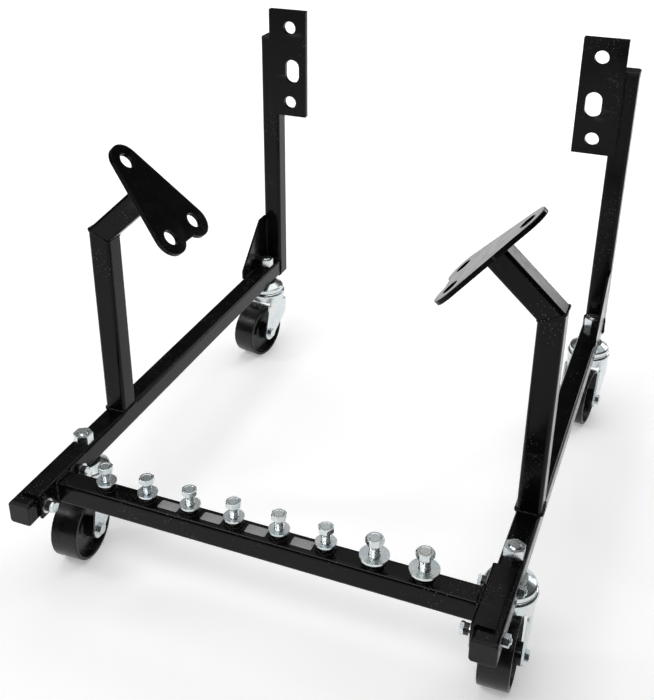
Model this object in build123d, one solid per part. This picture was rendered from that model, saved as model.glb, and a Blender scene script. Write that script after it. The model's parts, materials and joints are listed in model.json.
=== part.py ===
from build123d import *
import math
import os

# Engine stand: a floor cradle of square tube on four swivel casters.
# Millimetres. X runs across the stand, Y from its open front to its uprights, Z up.
# The origin is on the floor, under the middle of the stand.

# Square tube used throughout
TUBE = 25.4
TUBE_WALL = 2.0
TUBE_CORNER = 4.0
TUBE_HALF = TUBE / 2

# Main frame
RAIL_SPACING = 482.0
RAIL_LENGTH = 626.0
RAIL_UNDERSIDE = 110.0
CAP_HEAD = 4.0
CAP_PLUG = 12.0
CAP_PLAY = 0.1
CAP_BEND = 1.6
RAIL_X = RAIL_SPACING / 2
RAIL_Z = RAIL_UNDERSIDE + TUBE_HALF
RAIL_TOP = RAIL_UNDERSIDE + TUBE
RAIL_FRONT = CAP_HEAD - (CAP_HEAD + RAIL_LENGTH + TUBE) / 2
RAIL_REAR = RAIL_FRONT + RAIL_LENGTH

# Crossbar and the angle brackets that bolt it between the rails
CROSSBAR_Y = RAIL_FRONT + 53.0
ANGLE_THICKNESS = 3.2
ANGLE_LENGTH = 82.0
ANGLE_FLANGE = 21.9
ANGLE_BEND = 2.6
ANGLE_INNER_X = RAIL_X - TUBE_HALF - ANGLE_THICKNESS
BRACKET_BOLT_REACH = 32.0
BRACKET_BOLT_Z = RAIL_UNDERSIDE + 11.0

# Fasteners: shank radius, head across flats, head height
BOLT_1_4 = dict(radius=3.18, flats=11.1, head=4.4)
BOLT_3_8 = dict(radius=4.76, flats=14.3, head=6.2)
BOLT_7_16 = dict(radius=5.56, flats=15.9, head=7.1)
THREAD_PLAY = 0.08
HOLE_PLAY = 0.25
BEVEL = 0.7
BRACKET_WASHER = dict(radius=7.9, thickness=1.6)
BRACKET_SPACER = dict(radius=5.6, thickness=4.6)
BRACKET_NUT_HEIGHT = 5.6
BRACKET_BOLT_END = RAIL_X + TUBE_HALF + BRACKET_NUT_HEIGHT + 1.6

# Spare bolts kept in nuts welded to the crossbar: six engine bolts, two bell-housing bolts
STORAGE_PITCH = 48.75
ENGINE_BOLT_COUNT = 6
BELL_BOLT_COUNT = 2
STORAGE_NUT_HEIGHT = 9.0
ENGINE_WASHER = dict(radius=10.6, thickness=2.0)
BELL_WASHER = dict(radius=14.6, thickness=2.4)
ENGINE_BOLT_LENGTH = 38.1
BELL_BOLT_LENGTH = 44.4
ENGINE_HEAD_UNDERSIDE = 22.8
BELL_HEAD_UNDERSIDE = 24.6

# Front posts, the arms mitred to them and the engine plates
POST_Y = RAIL_FRONT + 192.7
MITRE_Z = RAIL_UNDERSIDE + 247.7
ARM_SLOPE = 42.5
ARM_LENGTH = 76.3
ENGINE_PLATE_THICKNESS = 4.8
PLATE_SETBACK = 5.5
PLATE_HOLE_RADIUS = 8.75
LOBE_RADIUS = 19.8
TIP_HOLE_UP = 39.8
BASE_HOLE_DOWN = 50.5
BASE_HOLE_REACH = 24.4
NOTCH_BELOW_HOLES = 13.2

# Rear uprights with their gussets and bell-housing plates
UPRIGHT_HEIGHT = 359.5
BELL_PLATE_X = 210.6
BELL_PLATE_WIDTH = 54.2
BELL_PLATE_THICKNESS = 6.4
BELL_PLATE_BOTTOM = RAIL_UNDERSIDE + 256.3
BELL_PLATE_TOP = RAIL_UNDERSIDE + 403.6
BELL_PLATE_CORNER = 1.2
BELL_HOLE_X = 207.5
BELL_HOLE_LOW = RAIL_UNDERSIDE + 275.7
BELL_HOLE_HIGH = RAIL_UNDERSIDE + 379.7
BELL_SLOT_X = 204.1
BELL_SLOT_Z = RAIL_UNDERSIDE + 319.9
BELL_SLOT_WIDTH = 20.5
BELL_SLOT_HEIGHT = 32.5
GUSSET_THICKNESS = 3.0
GUSSET_LENGTH = 81.0
GUSSET_HEIGHT = 70.0
GUSSET_NOSE = 12.0
GUSSET_LAND = 21.0

# Casters, each drawn about its swivel axis with Z = 0 at the rail's underside
CASTER_FRONT_Y = RAIL_FRONT + 115.0
CASTER_REAR_Y = RAIL_FRONT + 600.0
STEM_RADIUS = 6.35
STEM_TOP = TUBE + 12.6
STEM_NUT_FLATS = 19.05
STEM_NUT_HEIGHT = 11.1
STEM_HEAD_RADIUS = 10.0
STEM_HEAD_TOP = -15.3
STEM_HEAD_HEIGHT = 4.2
RACE_RADIUS = 25.5
RACE_FLAT_RADIUS = 16.0
RACE_RIM_TOP = -6.6
RACE_RIM_BOTTOM = -11.5
RACE_BEND = 1.6
RACE_SHEET = 2.5
BALL_RADIUS = 3.2
BALL_RING_RADIUS = 18.5
BALL_RING_Z = -8.45
BALL_COUNT = 16
RUNNING_PLAY = 0.08
CROWN_TOP = -12.1
CROWN_SHEET = 2.8
CROWN_RADIUS = 28.0
CROWN_DEPTH = 5.0
CROWN_BEND = 4.0
CROWN_CAVITY_RADIUS = 18.0
CROWN_BOTTOM = -24.5
SHOULDER_Z = -29.0
SHOULDER_CORNER = 8.8
FORK_INSIDE = 43.0
FORK_OUTSIDE = 48.0
FORK_DEPTH = 42.0
FORK_FORWARD = 4.0
HEEL_RADIUS = 9.0
HEEL_Z = -46.0
AXLE_TRAIL = 24.0
AXLE_Z = -72.0
AXLE_EYE_RADIUS = 11.0
AXLE_RADIUS = 3.97
AXLE_FLATS = 11.1
AXLE_END = 28.2
AXLE_NUT_HEIGHT = 5.0
BUSH_RADIUS = 6.35
WHEEL_RADIUS = 38.0
WHEEL_WIDTH = 31.75
WHEEL_SHOULDER = 1.4
WHEEL_RIM_INSIDE = 34.4
WHEEL_WEB_WIDTH = 16.0
HUB_RADIUS = 11.5
HUB_LENGTH = 42.4
HUB_ROOT_RADIUS = 14.0
HUB_ROOT_HEIGHT = 1.5
WHEEL_RIM_DRAFT = 2.0


def save(shape, name):
    export_step(shape, f"parts/{name}.step")


def save_pair(right_shape, name):
    """A right-hand piece and its mirror image."""
    save(right_shape, f"right_{name}")
    save(mirror(right_shape, about=Plane.YZ), f"left_{name}")


def tube(length):
    """Square tube standing on Z = 0, centred on the Z axis."""
    inside = TUBE - 2 * TUBE_WALL
    section = RectangleRounded(TUBE, TUBE, TUBE_CORNER)
    section -= RectangleRounded(inside, inside, TUBE_CORNER - TUBE_WALL)
    return extrude(section, length)


def rod(radius, length):
    """Round bar from Z = 0 upwards."""
    return Cylinder(radius, length, align=(Align.CENTER, Align.CENTER, Align.MIN))


def ring(radius, hole, height):
    """Washer or sleeve from Z = 0 upwards."""
    return rod(radius, height) - rod(hole, height)


def hexagon(flats, height):
    """Hexagonal block from Z = 0 upwards, flats facing X, its corners turned off at both ends."""
    block = extrude(RegularPolygon(flats / 2, 6, major_radius=False, rotation=30), height)
    corner = flats / math.sqrt(3)
    profile = Polyline(
        (0, 0), (corner - BEVEL, 0), (corner, BEVEL / 2), (corner, height - BEVEL / 2),
        (corner - BEVEL, height), (0, height), close=True
    )
    return block & revolve(Plane.XZ * make_face(profile), Axis.Z)


def hex_nut(flats, height, bore):
    return hexagon(flats, height) - rod(bore, height)


def hex_bolt(size, length):
    """Bolt pointing down, with the underside of its head at Z = 0."""
    shank = rod(size["radius"], length)
    shank = chamfer(shank.edges().group_by(Axis.Z)[0], BEVEL)
    return Pos(0, 0, -length) * shank + hexagon(size["flats"], size["head"])


def plug(plug_length):
    """Tube end cap facing up: a domed head on Z = 0 and a hollow plug below it."""
    inside = TUBE - 2 * TUBE_WALL - 2 * CAP_PLAY
    corner = TUBE_CORNER - TUBE_WALL
    head = extrude(RectangleRounded(TUBE, TUBE, TUBE_CORNER), CAP_HEAD)
    head = fillet(head.edges().group_by(Axis.Z)[-1], CAP_BEND)
    skirt = RectangleRounded(inside, inside, corner)
    skirt -= RectangleRounded(inside - 2 * TUBE_WALL, inside - 2 * TUBE_WALL, corner / 2)
    return head + Pos(0, 0, -plug_length) * extrude(skirt, plug_length)


def along_y(shape):
    """Turns a piece standing on Z so that it lies along Y."""
    return Rot(-90, 0, 0) * shape


def along_x(shape):
    """Turns a piece standing on Z so that it points along +X."""
    return Rot(0, 90, 0) * shape


# ---------------------------------------------------------------- frame

def bracket_bolt_places():
    return [CROSSBAR_Y - BRACKET_BOLT_REACH, CROSSBAR_Y + BRACKET_BOLT_REACH]


def side_rail():
    rail = Pos(RAIL_X, RAIL_FRONT, RAIL_Z) * along_y(tube(RAIL_LENGTH))
    for y in (CASTER_FRONT_Y, CASTER_REAR_Y):
        rail -= Pos(RAIL_X, y, RAIL_Z) * Cylinder(STEM_RADIUS + HOLE_PLAY, 2 * TUBE)
    for y in bracket_bolt_places():
        hole = Cylinder(BOLT_1_4["radius"] + HOLE_PLAY, 2 * TUBE)
        rail -= Pos(RAIL_X, y, BRACKET_BOLT_Z) * along_x(hole)
    return rail


def rail_end_cap():
    return Pos(RAIL_X, RAIL_FRONT, RAIL_Z) * Rot(90, 0, 0) * plug(CAP_PLUG)


def bracket():
    """Angle on the rail: one leg on its inner side, the other lying on its top."""
    x, z = ANGLE_INNER_X, RAIL_TOP + ANGLE_THICKNESS
    outline = Polyline(
        (x, RAIL_UNDERSIDE), (x, z), (x + ANGLE_FLANGE, z), (x + ANGLE_FLANGE, RAIL_TOP),
        (x + ANGLE_THICKNESS, RAIL_TOP), (x + ANGLE_THICKNESS, RAIL_UNDERSIDE), close=True
    )
    face = Plane(origin=(0, CROSSBAR_Y, 0), x_dir=(1, 0, 0), z_dir=(0, -1, 0)) * make_face(outline)
    angle = extrude(face, ANGLE_LENGTH / 2, both=True)
    bend = angle.edges().filter_by(Axis.Y).sort_by_distance((x, CROSSBAR_Y, z))[0]
    angle = fillet(bend, ANGLE_BEND)
    for y in bracket_bolt_places():
        hole = Cylinder(BOLT_1_4["radius"] + HOLE_PLAY, TUBE)
        angle -= Pos(ANGLE_INNER_X, y, BRACKET_BOLT_Z) * along_x(hole)
    return angle


def bracket_fastener(shape, x):
    """Four copies of a piece that points along +X on the right rail, mirrored on the left."""
    right = [Pos(x, y, BRACKET_BOLT_Z) * along_x(shape) for y in bracket_bolt_places()]
    return right + [mirror(piece, about=Plane.YZ) for piece in right]


def storage_places():
    count = ENGINE_BOLT_COUNT + BELL_BOLT_COUNT
    return [(index - (count - 1) / 2) * STORAGE_PITCH for index in range(count)]


def stored(shape, places, height):
    return [Pos(x, CROSSBAR_Y, RAIL_TOP + height) * shape for x in places]


def crossbar():
    bar = Pos(-ANGLE_INNER_X, CROSSBAR_Y, RAIL_Z) * along_x(tube(2 * ANGLE_INNER_X))
    for index, x in enumerate(storage_places()):
        size = BOLT_3_8 if index < ENGINE_BOLT_COUNT else BOLT_7_16
        bar -= Pos(x, CROSSBAR_Y, RAIL_TOP - TUBE_HALF) * rod(size["radius"] + HOLE_PLAY, TUBE)
    return bar


def build_frame():
    save_pair(side_rail(), "side_rail")
    save_pair(rail_end_cap(), "rail_end_cap")
    save_pair(bracket(), "crossbar_bracket")
    save(crossbar(), "crossbar")


def build_bracket_fasteners():
    washer_x = ANGLE_INNER_X - BRACKET_WASHER["thickness"]
    spacer_x = washer_x - BRACKET_SPACER["thickness"]
    bore = BOLT_1_4["radius"] + THREAD_PLAY
    washer = ring(BRACKET_WASHER["radius"], BOLT_1_4["radius"] + HOLE_PLAY, BRACKET_WASHER["thickness"])
    spacer = ring(BRACKET_SPACER["radius"], BOLT_1_4["radius"] + HOLE_PLAY, BRACKET_SPACER["thickness"])
    bolt = Rot(180, 0, 0) * hex_bolt(BOLT_1_4, BRACKET_BOLT_END - spacer_x)
    nut = hex_nut(BOLT_1_4["flats"], BRACKET_NUT_HEIGHT, bore)
    save(Compound(children=bracket_fastener(washer, washer_x)), "bracket_washers")
    save(Compound(children=bracket_fastener(spacer, spacer_x)), "bracket_spacers")
    save(Compound(children=bracket_fastener(bolt, spacer_x)), "bracket_bolts")
    save(Compound(children=bracket_fastener(nut, RAIL_X + TUBE_HALF)), "bracket_nuts")


def build_stored_bolts():
    places = storage_places()
    kits = (
        ("engine", BOLT_3_8, ENGINE_WASHER, ENGINE_BOLT_LENGTH, ENGINE_HEAD_UNDERSIDE,
         places[:ENGINE_BOLT_COUNT]),
        ("bell_housing", BOLT_7_16, BELL_WASHER, BELL_BOLT_LENGTH, BELL_HEAD_UNDERSIDE,
         places[ENGINE_BOLT_COUNT:]),
    )
    nuts = []
    for name, size, washer_size, length, underside, spots in kits:
        bore = size["radius"] + THREAD_PLAY
        nut = hex_nut(size["flats"], STORAGE_NUT_HEIGHT, bore)
        washer = ring(washer_size["radius"], size["radius"] + HOLE_PLAY, washer_size["thickness"])
        nuts += stored(nut, spots, 0)
        save(Compound(children=stored(hex_bolt(size, length), spots, underside)), f"{name}_bolts")
        save(Compound(children=stored(washer, spots, STORAGE_NUT_HEIGHT)), f"{name}_washers")
    save(Compound(children=nuts), "bolt_storage_nuts")


# ---------------------------------------------------------------- engine mounts

def arm_plane():
    """On the right-hand mitre: Z up the arm, X towards the back, Y to the plate's tip."""
    slope = math.radians(ARM_SLOPE)
    up_arm = (-math.cos(slope), 0, math.sin(slope))
    return Plane(origin=(RAIL_X, POST_Y, MITRE_Z), x_dir=(0, -1, 0), z_dir=up_arm)


def mitre_plane():
    """Splits the corner between post and arm, square to the line halfway between them."""
    half_turn = math.radians((90 - ARM_SLOPE) / 2)
    normal = (-math.sin(half_turn), 0, math.cos(half_turn))
    return Plane(origin=(RAIL_X, POST_Y, MITRE_Z), x_dir=(0, 1, 0), z_dir=normal)


def front_post():
    post = Pos(RAIL_X, POST_Y, RAIL_TOP) * tube(MITRE_Z - RAIL_TOP + TUBE)
    return split(post, bisect_by=mitre_plane(), keep=Keep.BOTTOM)


def engine_arm():
    arm = arm_plane() * Pos(0, 0, -TUBE) * tube(ARM_LENGTH + TUBE)
    return split(arm, bisect_by=mitre_plane(), keep=Keep.TOP)


def engine_plate():
    """Three-hole plate square to the arm: one hole in its tip, two in the lobes of its base."""
    tip = (-PLATE_SETBACK, TIP_HOLE_UP)
    base_y = -BASE_HOLE_DOWN
    holes = [tip, (-PLATE_SETBACK - BASE_HOLE_REACH, base_y), (-PLATE_SETBACK + BASE_HOLE_REACH, base_y)]
    outline = make_hull([edge for x, y in holes for edge in (Pos(x, y) * Circle(LOBE_RADIUS)).edges()])
    notch = Pos(-PLATE_SETBACK, base_y - NOTCH_BELOW_HOLES - LOBE_RADIUS)
    notch *= Rectangle(2 * BASE_HOLE_REACH, 2 * LOBE_RADIUS)
    for x, y in holes[1:]:
        notch -= Pos(x, y) * Circle(LOBE_RADIUS)
    outline -= notch
    for x, y in holes:
        outline -= Pos(x, y) * Circle(PLATE_HOLE_RADIUS)
    return arm_plane() * Pos(0, 0, ARM_LENGTH) * extrude(outline, ENGINE_PLATE_THICKNESS)


def build_engine_mounts():
    save_pair(front_post(), "front_post")
    save_pair(engine_arm(), "engine_arm")
    save_pair(engine_plate(), "engine_plate")


# ---------------------------------------------------------------- rear uprights

def upright():
    return Pos(RAIL_X, RAIL_REAR + TUBE_HALF, RAIL_UNDERSIDE) * tube(UPRIGHT_HEIGHT)


def upright_cap():
    return Pos(RAIL_X, RAIL_REAR + TUBE_HALF, RAIL_UNDERSIDE + UPRIGHT_HEIGHT) * plug(CAP_PLUG)


def bell_plate():
    """Flat plate on the upright's front face with two round holes and a slot between them."""
    height = BELL_PLATE_TOP - BELL_PLATE_BOTTOM
    middle = (BELL_PLATE_TOP + BELL_PLATE_BOTTOM) / 2
    outline = Pos(BELL_PLATE_X, middle) * RectangleRounded(BELL_PLATE_WIDTH, height, BELL_PLATE_CORNER)
    for z in (BELL_HOLE_LOW, BELL_HOLE_HIGH):
        outline -= Pos(BELL_HOLE_X, z) * Circle(PLATE_HOLE_RADIUS)
    slot = SlotOverall(BELL_SLOT_HEIGHT, BELL_SLOT_WIDTH, rotation=90)
    outline -= Pos(BELL_SLOT_X, BELL_SLOT_Z) * slot
    front = Plane(origin=(0, RAIL_REAR, 0), x_dir=(1, 0, 0), z_dir=(0, -1, 0))
    return extrude(front * outline, BELL_PLATE_THICKNESS)


def gusset():
    """Plate between rail and upright, flush with their outer faces."""
    y, z = RAIL_REAR, RAIL_TOP
    outline = Polyline(
        (y, z), (y, z + GUSSET_HEIGHT), (y - GUSSET_LAND, z + GUSSET_HEIGHT),
        (y - GUSSET_LENGTH, z + GUSSET_NOSE), (y - GUSSET_LENGTH, z), close=True
    )
    side = Plane(origin=(RAIL_X + TUBE_HALF, 0, 0), x_dir=(0, 1, 0), z_dir=(1, 0, 0))
    return extrude(side * make_face(outline), -GUSSET_THICKNESS)


def build_rear():
    save_pair(upright(), "rear_upright")
    save_pair(upright_cap(), "upright_cap")
    save_pair(bell_plate(), "bell_housing_plate")
    save_pair(gusset(), "rear_gusset")


# ---------------------------------------------------------------- casters
# Each caster trails towards -Y before it is turned, and its axle lies along X.

def caster_stem():
    """Threaded stem through the rail, headed under the fork's crown."""
    stem = Pos(0, 0, STEM_HEAD_TOP) * rod(STEM_RADIUS, STEM_TOP - STEM_HEAD_TOP)
    stem = chamfer(stem.edges().group_by(Axis.Z)[-1], 2 * BEVEL)
    return stem + Pos(0, 0, STEM_HEAD_TOP - STEM_HEAD_HEIGHT) * rod(STEM_HEAD_RADIUS, STEM_HEAD_HEIGHT)


def caster_stem_nut():
    return Pos(0, 0, TUBE) * hex_nut(STEM_NUT_FLATS, STEM_NUT_HEIGHT, STEM_RADIUS + THREAD_PLAY)


def caster_race():
    """Pressed cup that rides under the rail and covers the balls."""
    bore, lip = STEM_RADIUS + THREAD_PLAY, RACE_RADIUS - RACE_SHEET
    profile = Polyline(
        (bore, 0), (RACE_FLAT_RADIUS, 0), (RACE_RADIUS - RACE_BEND, RACE_RIM_TOP + RACE_BEND),
        (RACE_RADIUS, RACE_RIM_TOP), (RACE_RADIUS, RACE_RIM_BOTTOM), (lip, RACE_RIM_BOTTOM),
        (lip, RACE_RIM_TOP - RACE_BEND / 2), (RACE_FLAT_RADIUS, -RACE_SHEET), (bore, -RACE_SHEET),
        close=True
    )
    return revolve(Plane.XZ * make_face(profile), Axis.Z)


def caster_balls():
    turn = 360 / BALL_COUNT
    spot = Pos(BALL_RING_RADIUS, 0, BALL_RING_Z)
    return [Rot(0, 0, index * turn) * spot * Sphere(BALL_RADIUS) for index in range(BALL_COUNT)]


def fork_side():
    """Side outline of the fork's arms: wide under the crown, round at the axle."""
    front, back = -FORK_FORWARD - FORK_DEPTH / 2, -FORK_FORWARD + FORK_DEPTH / 2
    shoulder = Line((front, SHOULDER_Z), (back, SHOULDER_Z))
    heel = Pos(back - HEEL_RADIUS, HEEL_Z) * Circle(HEEL_RADIUS)
    eye = Pos(-AXLE_TRAIL, AXLE_Z) * Circle(AXLE_EYE_RADIUS)
    return make_hull([shoulder, *heel.edges(), *eye.edges()])


def caster_fork():
    """Pressed fork: a round crown that runs out into two flat arms."""
    rim = CROWN_TOP - CROWN_DEPTH
    crown = Pos(0, 0, rim) * rod(CROWN_RADIUS, CROWN_DEPTH)
    crown = fillet(crown.edges().group_by(Axis.Z)[-1], CROWN_BEND)
    shoulder = Pos(0, -FORK_FORWARD, SHOULDER_Z) * RectangleRounded(FORK_OUTSIDE, FORK_DEPTH, SHOULDER_CORNER)
    crown += loft([Pos(0, 0, rim) * Circle(CROWN_RADIUS), shoulder])
    side = Plane(origin=(0, 0, 0), x_dir=(0, 1, 0), z_dir=(1, 0, 0)) * fork_side()
    fork = crown + extrude(side, FORK_OUTSIDE / 2, both=True)
    fork -= Pos(0, 0, CROWN_BOTTOM) * Box(
        FORK_INSIDE, 4 * FORK_DEPTH, 4 * FORK_DEPTH, align=(Align.CENTER, Align.CENTER, Align.MAX)
    )
    fork -= Pos(0, 0, CROWN_BOTTOM) * rod(CROWN_CAVITY_RADIUS, CROWN_TOP - CROWN_SHEET - CROWN_BOTTOM)
    fork -= Pos(0, 0, 2 * CROWN_BOTTOM) * rod(STEM_RADIUS + RUNNING_PLAY, -2 * CROWN_BOTTOM)
    fork -= axle_place() * Cylinder(AXLE_RADIUS + THREAD_PLAY, 2 * FORK_OUTSIDE)
    return fork


def axle_place():
    """Middle of the axle, with Z along it."""
    return Pos(0, -AXLE_TRAIL, AXLE_Z) * Rot(0, 90, 0)


def caster_axle_bolt():
    head = AXLE_END - FORK_OUTSIDE / 2
    size = dict(radius=AXLE_RADIUS, flats=AXLE_FLATS, head=head)
    return axle_place() * Pos(0, 0, FORK_OUTSIDE / 2) * hex_bolt(size, AXLE_END + FORK_OUTSIDE / 2)


def caster_axle_nut():
    nut = hex_nut(AXLE_FLATS, AXLE_NUT_HEIGHT, AXLE_RADIUS + THREAD_PLAY)
    return axle_place() * Pos(0, 0, -FORK_OUTSIDE / 2 - AXLE_NUT_HEIGHT) * nut


def caster_bushing():
    sleeve = ring(BUSH_RADIUS, AXLE_RADIUS + THREAD_PLAY, FORK_INSIDE)
    return axle_place() * Pos(0, 0, -FORK_INSIDE / 2) * sleeve


def caster_wheel():
    """Moulded wheel: round-shouldered tread, thin web and a hub that stands out both sides."""
    bore = BUSH_RADIUS + RUNNING_PLAY
    half, web, hub = WHEEL_WIDTH / 2, WHEEL_WEB_WIDTH / 2, HUB_LENGTH / 2
    right = [
        (bore, hub), (HUB_RADIUS, hub), (HUB_RADIUS, web + HUB_ROOT_HEIGHT), (HUB_ROOT_RADIUS, web),
        (WHEEL_RIM_INSIDE - WHEEL_RIM_DRAFT, web), (WHEEL_RIM_INSIDE, half), (WHEEL_RADIUS, half)
    ]
    left = [(radius, -offset) for radius, offset in reversed(right)]
    section = make_face(Polyline(*right, *left, close=True))
    corners = section.vertices().group_by(Axis.X)[-1]
    section = fillet(corners, WHEEL_SHOULDER)
    return axle_place() * revolve(Plane.XZ * section, Axis.Z)


# name: rail side, place along the rail, resting swivel angle in degrees
CASTERS = {
    "front_left": (-1, CASTER_FRONT_Y, 3.0),
    "front_right": (1, CASTER_FRONT_Y, 1.5),
    "rear_left": (-1, CASTER_REAR_Y, -11.0),
    "rear_right": (1, CASTER_REAR_Y, -7.0),
}


def build_casters():
    pieces = {
        "race": caster_race(),
        "fork": caster_fork(),
        "axle_bolt": caster_axle_bolt(),
        "axle_nut": caster_axle_nut(),
        "bushing": caster_bushing(),
        "wheel": caster_wheel(),
    }
    stems, nuts, balls = [], [], []
    for corner, (side, y, angle) in CASTERS.items():
        post = Pos(side * RAIL_X, y, RAIL_UNDERSIDE)
        for name, shape in pieces.items():
            save(post * Rot(0, 0, angle) * shape, f"{corner}_caster_{name}")
        stems.append(post * caster_stem())
        nuts.append(post * caster_stem_nut())
        balls += [post * ball for ball in caster_balls()]
    save(Compound(children=stems), "caster_stems")
    save(Compound(children=nuts), "caster_stem_nuts")
    save(Compound(children=balls), "caster_balls")


os.makedirs("parts", exist_ok=True)
build_frame()
build_bracket_fasteners()
build_stored_bolts()
build_engine_mounts()
build_rear()
build_casters()
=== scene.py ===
import json
import math
import random

import bpy
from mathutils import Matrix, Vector


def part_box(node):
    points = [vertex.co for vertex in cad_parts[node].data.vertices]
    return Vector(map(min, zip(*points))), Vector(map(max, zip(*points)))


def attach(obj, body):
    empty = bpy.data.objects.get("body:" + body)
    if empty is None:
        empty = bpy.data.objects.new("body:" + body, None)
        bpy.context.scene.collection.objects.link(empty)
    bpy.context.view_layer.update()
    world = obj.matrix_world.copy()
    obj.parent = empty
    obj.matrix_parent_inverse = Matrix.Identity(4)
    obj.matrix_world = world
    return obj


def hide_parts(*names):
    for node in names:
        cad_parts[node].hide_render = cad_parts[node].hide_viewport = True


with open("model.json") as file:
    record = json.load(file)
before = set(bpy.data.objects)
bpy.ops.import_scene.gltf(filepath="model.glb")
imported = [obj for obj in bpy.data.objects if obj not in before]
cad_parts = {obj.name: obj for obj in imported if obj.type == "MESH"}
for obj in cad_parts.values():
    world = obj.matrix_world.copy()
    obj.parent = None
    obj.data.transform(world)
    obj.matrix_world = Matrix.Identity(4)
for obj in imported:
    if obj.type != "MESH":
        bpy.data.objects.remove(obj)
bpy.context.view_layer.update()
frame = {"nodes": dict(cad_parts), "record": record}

# Looks for the engine stand. Metres, in the CAD frame: X across, Y towards the uprights, Z up.
MM = 0.001
INCH = 0.0254
SIDES = {"left": -1, "right": 1}

# ---------------------------------------------------------------- places read from the frame

RAIL_LOW, RAIL_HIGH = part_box("right_side_rail")
TUBE = RAIL_HIGH.x - RAIL_LOW.x
TUBE_HALF = TUBE / 2
TUBE_CORNER = 4.0 * MM
RAIL_X = (RAIL_LOW.x + RAIL_HIGH.x) / 2
RAIL_TOP = RAIL_HIGH.z
RAIL_REAR = RAIL_HIGH.y
RAIL_Z = (RAIL_LOW.z + RAIL_HIGH.z) / 2
CROSSBAR_LOW, CROSSBAR_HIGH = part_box("crossbar")
CROSSBAR_Y = (CROSSBAR_LOW.y + CROSSBAR_HIGH.y) / 2
POST_LOW, POST_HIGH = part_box("right_front_post")
POST_Y = (POST_LOW.y + POST_HIGH.y) / 2
UPRIGHT_LOW, UPRIGHT_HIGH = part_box("right_rear_upright")
GUSSET_LOW, GUSSET_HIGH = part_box("right_rear_gusset")
BELL_LOW, BELL_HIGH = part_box("right_bell_housing_plate")
MOUNTS = {mount["name"]: mount for mount in frame["record"]["mounts"]}
UP_ARM = Vector(MOUNTS["right_engine_tip_hole"]["axis"])
if UP_ARM.z < 0:
    UP_ARM = -UP_ARM
HALF_TURN = (math.pi / 2 - math.asin(UP_ARM.z)) / 2
MITRE = Vector((RAIL_X, POST_Y, POST_HIGH.z - TUBE_HALF * math.tan(HALF_TURN)))


# ---------------------------------------------------------------- materials

class Finish:
    """A node material under construction, in the object's own coordinates."""

    def __init__(self, name, metallic=0.0, ior=1.45, coat=0.0, coat_roughness=0.1):
        self.material = bpy.data.materials.new(name)
        self.material.use_nodes = True
        self.nodes = self.material.node_tree.nodes
        self.links = self.material.node_tree.links
        self.shader = self.nodes["Principled BSDF"]
        self.shader.inputs["Metallic"].default_value = metallic
        self.shader.inputs["IOR"].default_value = ior
        self.shader.inputs["Coat Weight"].default_value = coat
        self.shader.inputs["Coat Roughness"].default_value = coat_roughness
        self.place = self.nodes.new("ShaderNodeTexCoord").outputs["Object"]

    def stretched(self, scale, turn=(0.0, 0.0, 0.0)):
        """Coordinates scaled by a different amount along each axis, for brushed and drawn marks."""
        mapping = self.nodes.new("ShaderNodeMapping")
        mapping.inputs["Scale"].default_value = scale
        mapping.inputs["Rotation"].default_value = turn
        self.links.new(self.place, mapping.inputs["Vector"])
        return mapping.outputs["Vector"]

    def noise(self, per_metre, detail=3.0, roughness=0.5, vector=None):
        node = self.nodes.new("ShaderNodeTexNoise")
        node.inputs["Scale"].default_value = per_metre
        node.inputs["Detail"].default_value = detail
        node.inputs["Roughness"].default_value = roughness
        self.links.new(vector or self.place, node.inputs["Vector"])
        return node.outputs["Fac"]

    def cells(self, per_metre):
        node = self.nodes.new("ShaderNodeTexVoronoi")
        node.inputs["Scale"].default_value = per_metre
        self.links.new(self.place, node.inputs["Vector"])
        return node.outputs["Distance"]

    def remap(self, value, low, high, to_low, to_high):
        node = self.nodes.new("ShaderNodeMapRange")
        self.links.new(value, node.inputs["Value"])
        limits = {"From Min": low, "From Max": high, "To Min": to_low, "To Max": to_high}
        for socket, number in limits.items():
            node.inputs[socket].default_value = number
        return node.outputs["Result"]

    def combined(self, operation, first, second):
        node = self.nodes.new("ShaderNodeMath")
        node.operation = operation
        node.use_clamp = True
        self.links.new(first, node.inputs[0])
        self.links.new(second, node.inputs[1])
        return node.outputs["Value"]

    def ramp(self, value, *stops):
        """A colour ramp through (position, colour) stops."""
        node = self.nodes.new("ShaderNodeValToRGB")
        elements = node.color_ramp.elements
        while len(elements) < len(stops):
            elements.new(0.5)
        for element, (position, colour) in zip(elements, stops):
            element.position = position
            element.color = (*colour, 1.0)
        self.links.new(value, node.inputs["Fac"])
        return node.outputs["Color"]

    def over(self, below, above, amount):
        """Colour above laid on colour below wherever amount is 1."""
        node = self.nodes.new("ShaderNodeMix")
        node.data_type = "RGBA"
        self.links.new(amount, node.inputs["Factor"])
        self.links.new(below, node.inputs["A"])
        self.links.new(above, node.inputs["B"])
        return node.outputs["Result"]

    def colour(self, value):
        self.links.new(value, self.shader.inputs["Base Color"])

    def roughness(self, value):
        self.links.new(value, self.shader.inputs["Roughness"])

    def relief(self, *layers, edge=0.0):
        """Bump layers of (height field, depth in metres) over softened edges."""
        normal = None
        if edge:
            bevel = self.nodes.new("ShaderNodeBevel")
            bevel.samples = 6
            bevel.inputs["Radius"].default_value = edge
            normal = bevel.outputs["Normal"]
        for height, depth in layers:
            bump = self.nodes.new("ShaderNodeBump")
            bump.inputs["Distance"].default_value = depth
            self.links.new(height, bump.inputs["Height"])
            if normal is not None:
                self.links.new(normal, bump.inputs["Normal"])
            normal = bump.outputs["Normal"]
        self.links.new(normal, self.shader.inputs["Normal"])


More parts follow.
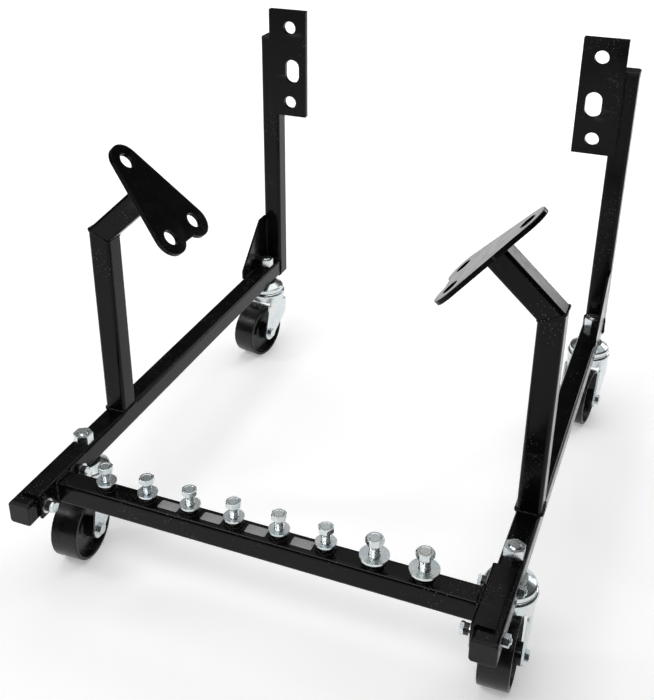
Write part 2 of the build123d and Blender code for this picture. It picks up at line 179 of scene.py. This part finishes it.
def powder_coat(name, depth=0.03 * MM, gloss=(0.10, 0.22)):
    """Gloss black powder coat: orange peel, uneven gloss, settled dust and fine rubbed scratches."""
    finish = Finish(name, ior=1.25)
    drift = finish.noise(9, detail=4)
    tone = finish.ramp(drift, (0.3, (0.0016, 0.0016, 0.0018)), (0.7, (0.0045, 0.0045, 0.0048)))
    dust = finish.ramp(finish.noise(35), (0.0, (0.04, 0.04, 0.041)), (1.0, (0.20, 0.20, 0.20)))
    specks = finish.remap(finish.cells(300), 0.10, 0.22, 1.0, 0.0)
    patches = finish.remap(finish.noise(16, detail=3), 0.50, 0.66, 0.0, 1.0)
    hairs = finish.stretched((14.0, 900.0, 60.0), turn=(0.5, 0.7, 0.6))
    scratches = finish.remap(finish.noise(1.0, detail=3, vector=hairs), 0.66, 0.80, 0.0, 0.35)
    marks = finish.combined("ADD", finish.combined("MULTIPLY", specks, patches), scratches)
    finish.colour(finish.over(tone, dust, marks))
    finish.roughness(finish.remap(finish.noise(60, detail=5), 0.3, 0.7, *gloss))
    finish.relief((finish.noise(95, detail=1), depth), (finish.noise(520, detail=2), depth), edge=1.0 * MM)
    return finish.material


def zinc_plate(name, tints, gloss, spots):
    """Clear zinc plate: bright metal with faint blue and straw tints, drawn marks and dull spots."""
    finish = Finish(name, metallic=1.0)
    blue, middle, straw = tints
    tint = finish.ramp(finish.noise(60, detail=3), (0.30, blue), (0.50, middle), (0.72, straw))
    stain = finish.ramp(finish.noise(700), (0.0, (0.26, 0.28, 0.29)), (1.0, (0.42, 0.43, 0.43)))
    dull = finish.remap(finish.noise(300, detail=6), 0.60, 0.78, 0.0, spots)
    finish.colour(finish.over(tint, stain, dull))
    drawn = finish.noise(400, detail=4, vector=finish.stretched((1.0, 1.0, 6.0)))
    finish.roughness(finish.remap(drawn, 0.25, 0.75, *gloss))
    finish.relief((drawn, 0.02 * MM), (finish.noise(1500), 0.01 * MM), edge=0.35 * MM)
    return finish.material


def black_oxide():
    """Satin black steel of the rings under the bracket bolts."""
    finish = Finish("black_oxide_finish", ior=1.5)
    finish.colour(finish.ramp(finish.noise(250), (0.3, (0.008, 0.008, 0.009)), (0.75, (0.03, 0.028, 0.026))))
    finish.roughness(finish.remap(finish.noise(600, detail=4), 0.3, 0.7, 0.30, 0.48))
    finish.relief((finish.noise(1400), 0.03 * MM), edge=0.4 * MM)
    return finish.material


def greased_steel():
    """Ground steel with a film of grease, on the balls and bushings."""
    finish = Finish("greased_ground_steel", metallic=1.0)
    finish.colour(finish.ramp(finish.noise(180), (0.35, (0.30, 0.27, 0.22)), (0.65, (0.58, 0.58, 0.58))))
    finish.roughness(finish.remap(finish.noise(500), 0.3, 0.7, 0.14, 0.34))
    finish.relief((finish.noise(900), 0.01 * MM))
    return finish.material


def moulded_wheel():
    """Black moulded plastic: flow marks, a soft sheen and fine scuffs."""
    finish = Finish("black_moulded_wheel", ior=1.38)
    flow = finish.noise(30, detail=4, vector=finish.stretched((3.0, 1.0, 1.0)))
    tone = finish.ramp(flow, (0.3, (0.006, 0.006, 0.0065)), (0.7, (0.013, 0.013, 0.013)))
    scuff = finish.ramp(finish.noise(800), (0.0, (0.035, 0.034, 0.033)), (1.0, (0.07, 0.068, 0.066)))
    rubbed = finish.remap(finish.noise(220, detail=8, roughness=0.7), 0.64, 0.76, 0.0, 0.6)
    finish.colour(finish.over(tone, scuff, rubbed))
    finish.roughness(finish.remap(finish.noise(90, detail=6), 0.3, 0.7, 0.20, 0.36))
    finish.relief((flow, 0.06 * MM), (finish.noise(1100), 0.02 * MM), edge=0.5 * MM)
    return finish.material


def moulded_cap():
    """Fine-grained black plastic of the tube end caps."""
    finish = Finish("black_grained_cap", ior=1.33)
    finish.colour(finish.ramp(finish.noise(70), (0.3, (0.007, 0.007, 0.007)), (0.7, (0.014, 0.014, 0.014))))
    finish.roughness(finish.remap(finish.noise(300, detail=5), 0.3, 0.7, 0.34, 0.50))
    finish.relief((finish.noise(2200, detail=1), 0.035 * MM))
    return finish.material


def blank_film():
    """Printed film with nothing on it: grey, slightly mottled and duller than the coat round it."""
    finish = Finish("blank_label_film", ior=1.45)
    mottle = finish.noise(900, detail=6)
    finish.colour(finish.ramp(mottle, (0.35, (0.24, 0.24, 0.24)), (0.65, (0.44, 0.44, 0.44))))
    finish.roughness(finish.remap(finish.noise(150), 0.3, 0.7, 0.40, 0.55))
    finish.relief((finish.noise(400), 0.02 * MM))
    return finish.material


# bluish, plain and straw tints of the plating
ZINC_TINTS = ((0.60, 0.68, 0.72), (0.70, 0.75, 0.76), (0.75, 0.76, 0.73))
FINISHES = {
    "powder_coated_steel": powder_coat("gloss_black_powder_coat"),
    "zinc_plated_steel": zinc_plate("clear_zinc_plate", ZINC_TINTS, gloss=(0.20, 0.34), spots=0.2),
    "black_oxide_steel": black_oxide(),
    "bearing_steel": greased_steel(),
    "black_wheel_plastic": moulded_wheel(),
    "black_cap_plastic": moulded_cap(),
}
WELD_FINISH = powder_coat("powder_coat_over_weld", depth=0.08 * MM, gloss=(0.05, 0.14))
FILM_FINISH = blank_film()


def finish_cad_nodes():
    for subpart in frame["record"]["subparts"]:
        node = frame["nodes"][subpart["node"]]
        for slot in node.material_slots:
            slot.material = FINISHES[subpart["material_slot"]]


# ---------------------------------------------------------------- mesh helpers

def new_piece(name, vertices, faces, material, sharp_angle=None):
    mesh = bpy.data.meshes.new(name)
    mesh.from_pydata(vertices, [], faces)
    mesh.validate()
    mesh.shade_smooth()
    if sharp_angle:
        mesh.set_sharp_from_angle(angle=math.radians(sharp_angle))
    mesh.materials.append(material)
    piece = bpy.data.objects.new(name, mesh)
    bpy.context.scene.collection.objects.link(piece)
    return piece


class Shape:
    """Vertices and faces collected from several rows of rings."""

    def __init__(self):
        self.vertices = []
        self.faces = []

    def rings(self, rings, closed=False):
        """Skins a list of rings, each with the same number of points, and caps the ends if it is open."""
        start, count = len(self.vertices), len(rings[0])
        for ring in rings:
            self.vertices.extend(ring)
        last = len(rings) if closed else len(rings) - 1
        for row in range(last):
            here = start + row * count
            there = start + ((row + 1) % len(rings)) * count
            for index in range(count):
                after = (index + 1) % count
                self.faces.append((here + index, here + after, there + after, there + index))
        if not closed:
            self.faces.append(tuple(start + index for index in reversed(range(count))))
            self.faces.append(tuple(start + (len(rings) - 1) * count + index for index in range(count)))

    def add_to_scene(self, name, material, body, slot, sharp_angle=None):
        piece = new_piece(name, self.vertices, self.faces, material, sharp_angle)
        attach(piece, body)
        return piece


def basis(direction):
    """Two unit vectors square to a direction and to each other."""
    helper = Vector((0, 0, 1)) if abs(direction.z) < 0.9 else Vector((1, 0, 0))
    across = direction.cross(helper).normalized()
    return across, direction.cross(across).normalized()


def mirrored(points, side):
    return [Vector((side * point.x, point.y, point.z)) for point in points]


# ---------------------------------------------------------------- welds

BEAD_RADIUS = 2.3 * MM
RIPPLE_PITCH = 2.6 * MM
RING_POINTS = 10
SWELL_STEPS = 6
STEP = 0.7 * MM


def resampled(points, step, closed):
    """Points a step apart along a path."""
    path = points + points[:1] if closed else points
    out = []
    for start, end in zip(path, path[1:]):
        count = max(1, round((end - start).length / step))
        out += [start.lerp(end, index / count) for index in range(count)]
    if not closed:
        out.append(path[-1])
    return out


def bead(shape, points, closed=False, radius=BEAD_RADIUS, seed=0):
    """A rippled weld bead along a path, its width drifting, tapered at open ends."""
    draw = random.Random(seed)
    path = resampled(points, STEP, closed)
    count = len(path)
    swell = [draw.uniform(0.88, 1.14) for _ in range(count // SWELL_STEPS + 2)]
    rings = []
    for index, point in enumerate(path):
        before = path[index - 1] if closed or index else path[0]
        after = path[(index + 1) % count] if closed or index < count - 1 else path[-1]
        direction = (after - before).normalized()
        across, over = basis(direction)
        whole, part = divmod(index, SWELL_STEPS)
        part /= SWELL_STEPS
        width = swell[whole] * (1 - part) + swell[(whole + 1) % len(swell)] * part
        phase = math.pi * index * STEP / RIPPLE_PITCH
        size = radius * width * (0.80 + 0.24 * abs(math.sin(phase)))
        if not closed:
            size *= min(1.0, 0.35 + min(index, count - 1 - index) / 4)
        sag = draw.uniform(-0.08, 0.08) * radius
        ring = []
        for step in range(RING_POINTS):
            angle = 2 * math.pi * step / RING_POINTS
            ring.append(point + across * (size * math.cos(angle) + sag) + over * (size * math.sin(angle)))
        rings.append(ring)
    shape.rings(rings, closed)


def spatter(shape, centre, spread, flat_axis, count, seed):
    """Small droplets scattered on a flat face around a weld."""
    draw = random.Random(seed)
    for _ in range(count):
        size = draw.uniform(0.35, 0.95) * MM
        offset = Vector([draw.uniform(-1, 1) * reach for reach in spread])
        offset[flat_axis] = 0.0
        place = centre + offset
        rings = []
        for height, width in ((-0.2, 1.0), (0.25, 0.92), (0.55, 0.62), (0.72, 0.22)):
            ring = []
            for step in range(7):
                angle = 2 * math.pi * step / 7
                point = place.copy()
                axes = [axis for axis in range(3) if axis != flat_axis]
                point[axes[0]] += size * width * math.cos(angle)
                point[axes[1]] += size * width * math.sin(angle)
                point[flat_axis] += size * height * math.copysign(1.0, spread[flat_axis])
                ring.append(point)
            rings.append(ring)
        shape.rings(rings)


# signs of a rectangle's four corners, counter-clockwise
QUARTERS = ((1, 1), (-1, 1), (-1, -1), (1, -1))


def square_loop(centre, u, v, half=TUBE_HALF, corner=TUBE_CORNER):
    """Outline of a square tube with rounded corners, in the plane of u and v."""
    points = []
    inset = half - corner
    for quarter, (su, sv) in enumerate(QUARTERS):
        for step in range(5):
            angle = math.pi / 2 * (quarter + step / 4)
            x = su * inset + corner * math.cos(angle)
            y = sv * inset + corner * math.sin(angle)
            points.append(centre + u * x + v * y)
    return points


X, Y, Z = Vector((1, 0, 0)), Vector((0, 1, 0)), Vector((0, 0, 1))


def weld_crossbar():
    """The bar's ends run into the brackets' inner legs."""
    for name, side in SIDES.items():
        shape = Shape()
        centre = Vector((CROSSBAR_HIGH.x, CROSSBAR_Y, RAIL_Z))
        loop = mirrored(square_loop(centre, Y, Z), side)
        bead(shape, loop, closed=True, radius=1.25 * BEAD_RADIUS, seed=11)
        top = Vector((side * (CROSSBAR_HIGH.x - 5 * MM), CROSSBAR_Y, RAIL_TOP))
        spatter(shape, top, Vector((5 * MM, 9 * MM, 1)), 2, 16, seed=12 + side)
        shape.add_to_scene(f"{name}_crossbar_weld", WELD_FINISH, "frame", "powder_coated_steel", 50)


def weld_front_posts():
    """Foot, mitre and plate welds of the engine arms."""
    mitre_u = Vector((math.cos(HALF_TURN), 0, math.sin(HALF_TURN)))
    plate_low, plate_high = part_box("right_engine_arm")
    arm_reach = (plate_high.x - plate_low.x)
    across_arm = Vector((UP_ARM.z, 0, -UP_ARM.x))
    arm_end_z = plate_high.z - TUBE_HALF * across_arm.z
    arm_end = MITRE + UP_ARM * ((arm_end_z - MITRE.z) / UP_ARM.z)
    for name, side in SIDES.items():
        foot, mitre, plate = Shape(), Shape(), Shape()
        foot_centre = Vector((RAIL_X, POST_Y, RAIL_TOP))
        bead(foot, mirrored(square_loop(foot_centre, X, Y), side), closed=True, seed=21)
        mitre_half = TUBE_HALF / math.cos(HALF_TURN)
        loop = []
        for point in square_loop(Vector((0, 0, 0)), X, Y):
            loop.append(MITRE + mitre_u * (point.x * mitre_half / TUBE_HALF) + Y * point.y)
        bead(mitre, mirrored(loop, side), closed=True, radius=0.55 * BEAD_RADIUS, seed=22)
        bead(plate, mirrored(square_loop(arm_end, across_arm, Y), side), closed=True, seed=23)
        foot.add_to_scene(f"{name}_post_foot_weld", WELD_FINISH, "frame", "powder_coated_steel", 50)
        mitre.add_to_scene(f"{name}_mitre_weld", WELD_FINISH, "frame", "powder_coated_steel", 50)
        plate.add_to_scene(f"{name}_engine_plate_weld", WELD_FINISH, "frame", "powder_coated_steel", 50)


def weld_rear():
    """Rail to upright, gusset to both, and bell-housing plate to upright."""
    inside = GUSSET_LOW.x
    for name, side in SIDES.items():
        rail, gusset, plate = Shape(), Shape(), Shape()
        end = Vector((RAIL_X, RAIL_REAR, RAIL_Z))
        bead(rail, mirrored(square_loop(end, X, Z), side), closed=True, seed=31)
        run = [Vector((inside, GUSSET_LOW.y + 3 * MM, RAIL_TOP)), Vector((inside, RAIL_REAR, RAIL_TOP)),
               Vector((inside, RAIL_REAR, GUSSET_HIGH.z - 3 * MM))]
        bead(gusset, mirrored(run, side), radius=0.85 * BEAD_RADIUS, seed=32)
        for x, y in ((UPRIGHT_LOW.x, RAIL_REAR), (BELL_HIGH.x, RAIL_REAR)):
            line = [Vector((x, y, BELL_LOW.z + 6 * MM)), Vector((x, y, UPRIGHT_HIGH.z - 6 * MM))]
            bead(plate, mirrored(line, side), radius=0.8 * BEAD_RADIUS, seed=33)
        rail.add_to_scene(f"{name}_rail_end_weld", WELD_FINISH, "frame", "powder_coated_steel", 50)
        gusset.add_to_scene(f"{name}_gusset_weld", WELD_FINISH, "frame", "powder_coated_steel", 50)
        plate.add_to_scene(f"{name}_bell_plate_weld", WELD_FINISH, "frame", "powder_coated_steel", 50)


# ---------------------------------------------------------------- bolts

HEX_STEPS = 72
THREAD_STEPS = 28
COS_30 = math.cos(math.pi / 6)


def hex_radius(flats, angle):
    """Distance from the middle of a hexagon to its edge; two flats face angle 0."""
    fold = (angle + math.pi / 6) % (math.pi / 3) - math.pi / 6
    return flats / 2 / math.cos(fold)


def hex_head(shape, place, axis, flats, height, turn=0.0):
    """A hexagon head standing on place: washer face below, turned chamfer and a shallow dish on top."""
    across, over = basis(axis)
    top_radius = 0.94 * flats / 2
    rows = []
    for level in ("seat", "washer_face", "corner", "chamfer", "top", "lip", "dish"):
        ring = []
        for step in range(HEX_STEPS):
            angle = 2 * math.pi * step / HEX_STEPS
            edge = hex_radius(flats, angle)
            cut = (edge - top_radius) * math.tan(math.pi / 6)
            radius, rise = {
                "seat": (0.90 * flats / 2, 0.0),
                "washer_face": (0.93 * flats / 2, 0.3 * MM),
                "corner": (edge, 0.3 * MM + cut),
                "chamfer": (edge, height - cut),
                "top": (top_radius, height),
                "lip": (0.74 * flats / 2, height),
                "dish": (0.66 * flats / 2, height - 0.35 * MM),
            }[level]
            spin = angle + turn
            outward = across * radius * math.cos(spin) + over * radius * math.sin(spin)
            ring.append(place + axis * rise + outward)
        rows.append(ring)
    shape.rings(rows)


def threaded_shank(shape, place, axis, radius, length, pitch):
    """A threaded rod from place along axis, its far end chamfered."""
    across, over = basis(axis)
    depth = 0.55 * pitch
    samples = 8
    rows = []
    count = int(length / pitch * samples)
    for row in range(count + 1):
        along = length * row / count
        limit = radius - max(0.0, along - (length - depth))
        ring = []
        for step in range(THREAD_STEPS):
            part = step / THREAD_STEPS
            phase = (along / pitch - part) % 1.0
            ridge = 1 - abs(2 * phase - 1)
            size = min(limit, radius - depth * (1 - min(1.0, 1.25 * ridge)))
            angle = 2 * math.pi * part
            outward = across * size * math.cos(angle) + over * size * math.sin(angle)
            ring.append(place + axis * along + outward)
        rows.append(ring)
    shape.rings(rows)


def bolt(shape, seat, axis, size, tip_distance, turn=0.0):
    """A hexagon bolt: seat is under its head and axis points from the tip to the head."""
    hex_head(shape, seat, axis, size["flats"], size["head"], turn)
    threaded_shank(shape, seat, -axis, size["radius"], tip_distance, size["pitch"])


BOLT_1_4 = dict(radius=3.18 * MM, flats=11.1 * MM, head=4.4 * MM, pitch=INCH / 20)
BOLT_3_8 = dict(radius=4.76 * MM, flats=14.3 * MM, head=6.2 * MM, pitch=INCH / 16)
BOLT_7_16 = dict(radius=5.56 * MM, flats=15.9 * MM, head=7.1 * MM, pitch=INCH / 14)
BRACKET_SPACER = 4.6 * MM
# node, size and number of the bolts parked on the crossbar
STORED_BOLTS = (("engine_bolts", BOLT_3_8, 6), ("bell_housing_bolts", BOLT_7_16, 2))


def stored_places(node, size, count):
    """Where the bolts of one node stand along the crossbar."""
    low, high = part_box(node)
    first, last = low.x + size["flats"] / 2, high.x - size["flats"] / 2
    return [first + (last - first) * index / (count - 1) for index in range(count)]


def add_stored_bolts():
    """Bolts parked in the nuts on the crossbar, each turned a little differently."""
    draw = random.Random(4)
    for node, size, count in STORED_BOLTS:
        low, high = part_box(node)
        shape = Shape()
        for x in stored_places(node, size, count):
            seat = Vector((x, CROSSBAR_Y, high.z - size["head"]))
            bolt(shape, seat, Z, size, seat.z - low.z, turn=draw.uniform(-0.3, 0.3))
        piece = shape.add_to_scene(f"threaded_{node}", FINISHES["zinc_plated_steel"], "frame",
                                   "zinc_plated_steel", 28)
        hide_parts(node)


def add_bracket_bolts():
    """Bolts through brackets and rails, heads inside and threads standing out of the nuts."""
    low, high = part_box("bracket_bolts")
    ring_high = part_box("bracket_spacers")[1]
    seat_x = ring_high.x - BRACKET_SPACER
    reach = BOLT_1_4["flats"] / 2 / COS_30
    shape = Shape()
    for side in SIDES.values():
        for y in (low.y + reach, high.y - reach):
            seat = Vector((side * seat_x, y, (low.z + high.z) / 2))
            bolt(shape, seat, -side * X, BOLT_1_4, high.x - seat_x)
    piece = shape.add_to_scene("threaded_bracket_bolts", FINISHES["zinc_plated_steel"], "frame",
                               "zinc_plated_steel", 28)
    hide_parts("bracket_bolts")


def weld_storage_nuts():
    """Small fillets round the feet of the nuts."""
    shape = Shape()
    places = []
    for node, size, count in STORED_BOLTS:
        places += [(x, size["flats"]) for x in stored_places(node, size, count)]
    for index, (x, flats) in enumerate(places):
        ring = []
        for step in range(24):
            angle = 2 * math.pi * step / 24
            reach = hex_radius(flats, angle)
            ring.append(Vector((x + reach * math.cos(angle), CROSSBAR_Y + reach * math.sin(angle), RAIL_TOP)))
        bead(shape, ring, closed=True, radius=1.1 * BEAD_RADIUS, seed=60 + index)
        foot = Vector((x, CROSSBAR_Y, RAIL_TOP))
        spatter(shape, foot, Vector((15 * MM, 10 * MM, 1)), 2, 6, seed=80 + index)
    shape.add_to_scene("storage_nut_welds", WELD_FINISH, "frame", "powder_coated_steel", 50)


# gaps between engine bolts that hold a label, and a label's size
LABEL_GAPS = (1, 2, 3, 4)
LABEL_LENGTH = 22 * MM
LABEL_WIDTH = 12 * MM
LABEL_THICKNESS = 0.12 * MM
LABEL_CORNER = 1.5 * MM


def add_blank_labels():
    """Thin blank films on top of the bar, between the engine bolts."""
    low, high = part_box("engine_bolts")
    first = low.x + BOLT_3_8["flats"] / 2
    pitch = (high.x - low.x - BOLT_3_8["flats"]) / 5
    for gap in LABEL_GAPS:
        centre = Vector((first + pitch * (gap + 0.5), CROSSBAR_Y, RAIL_TOP))
        rings = []
        levels = ((0.0, -0.02 * MM), (0.0, LABEL_THICKNESS * 0.7), (0.1 * MM, LABEL_THICKNESS))
        for inset, rise in levels:
            ring = []
            for quarter, (sx, sy) in enumerate(QUARTERS):
                for step in range(5):
                    angle = math.pi / 2 * (quarter + step / 4)
                    round_x, round_y = math.cos(angle), math.sin(angle)
                    x = sx * (LABEL_LENGTH / 2 - LABEL_CORNER) + (LABEL_CORNER - inset) * round_x
                    y = sy * (LABEL_WIDTH / 2 - LABEL_CORNER) + (LABEL_CORNER - inset) * round_y
                    ring.append(centre + Vector((x, y, rise)))
            rings.append(ring)
        shape = Shape()
        shape.rings(rings)
        shape.add_to_scene(f"blank_label_{gap}", FILM_FINISH, "frame", "powder_coated_steel", 30)


# ---------------------------------------------------------------- studio

FLOOR_REACH = 14.0
FLOOR_GLOW = 0.34


def add_floor():
    """A pale floor that glows faintly like a light table. Low views from behind reach its far edge."""
    signs = ((-1, -1), (1, -1), (1, 1), (-1, 1))
    corners = [Vector((x * FLOOR_REACH, y * FLOOR_REACH, 0)) for x, y in signs]
    finish = Finish("pale_floor_paint", ior=1.3)
    finish.colour(finish.ramp(finish.noise(3), (0.0, (0.92, 0.92, 0.92)), (1.0, (0.95, 0.95, 0.95))))
    finish.roughness(finish.remap(finish.noise(40), 0.3, 0.7, 0.75, 0.85))
    finish.shader.inputs["Emission Color"].default_value = (1.0, 1.0, 1.0, 1.0)
    finish.shader.inputs["Emission Strength"].default_value = FLOOR_GLOW
    floor = new_piece("studio_floor", corners, [(0, 1, 2, 3)], finish.material)


def add_softbox(name, place, target, width, height, watts, spread):
    light = bpy.data.lights.new(name, "AREA")
    light.shape = "RECTANGLE"
    light.size = width
    light.size_y = height
    light.energy = watts
    light.spread = math.radians(spread)
    lamp = bpy.data.objects.new(name, light)
    lamp.location = place
    lamp.rotation_euler = (Vector(target) - Vector(place)).to_track_quat("-Z", "Y").to_euler()
    bpy.context.scene.collection.objects.link(lamp)


# places and sizes in metres, power in watts, spread in degrees
SOFTBOXES = {
    "overhead_softbox": dict(
        place=(0.0, 0.35, 2.2), target=(0.0, 0.35, 0.0), width=2.8, height=2.0, watts=9, spread=105),
    "rear_softbox": dict(
        place=(-0.4, 2.6, 2.6), target=(-0.4, 2.8, 0.0), width=6.0, height=2.4, watts=56, spread=115),
    "front_softbox": dict(
        place=(-0.5, -1.5, 2.2), target=(0.0, -0.2, 0.1), width=2.0, height=0.45, watts=22, spread=180),
    "rear_right_softbox": dict(
        place=(1.7, 2.7, 1.2), target=(0.0, 0.0, 0.2), width=0.8, height=0.8, watts=10, spread=180),
    "left_softbox": dict(
        place=(-1.7, -0.6, 1.5), target=(0.0, 0.0, 0.2), width=0.25, height=0.8, watts=5, spread=180),
}


def add_light():
    """Air that is brighter above and behind, and five softboxes."""
    world = bpy.data.worlds.new("studio_air")
    world.use_nodes = True
    nodes, links = world.node_tree.nodes, world.node_tree.links
    direction = nodes.new("ShaderNodeTexCoord").outputs["Generated"]
    toward = nodes.new("ShaderNodeVectorMath")
    toward.operation = "DOT_PRODUCT"
    toward.inputs[1].default_value = (0.0, 0.55, 0.83)
    links.new(direction, toward.inputs[0])
    glow = nodes.new("ShaderNodeMapRange")
    glow.interpolation_type = "SMOOTHSTEP"
    limits = {"From Min": -0.2, "From Max": 0.75, "To Min": 0.05, "To Max": 0.75}
    for socket, number in limits.items():
        glow.inputs[socket].default_value = number
    links.new(toward.outputs["Value"], glow.inputs["Value"])
    links.new(glow.outputs["Result"], nodes["Background"].inputs["Strength"])
    bpy.context.scene.world = world
    for name, settings in SOFTBOXES.items():
        add_softbox(name, **settings)


CAMERA_PLACE = (0.3493, -0.9795, 0.8068)
CAMERA_DOWN = 26.33
CAMERA_TURN = 22.4


def add_camera():
    """The photograph's viewpoint: in front, to the right and above, tilted down."""
    camera = bpy.data.cameras.new("photo_camera")
    camera.lens = 52.64
    camera.sensor_width = 36.0
    camera.shift_x = 0.0236
    camera.shift_y = -0.109
    camera.clip_end = 60.0
    rig = bpy.data.objects.new("photo_camera", camera)
    rig.location = CAMERA_PLACE
    rig.rotation_euler = (math.radians(90 - CAMERA_DOWN), 0.0, math.radians(CAMERA_TURN))
    bpy.context.scene.collection.objects.link(rig)
    bpy.context.scene.camera = rig


add_camera()
add_light()
add_floor()
finish_cad_nodes()
weld_crossbar()
weld_front_posts()
weld_rear()
weld_storage_nuts()
add_stored_bolts()
add_bracket_bolts()
add_blank_labels()
bpy.context.scene.view_settings.view_transform = "Standard"
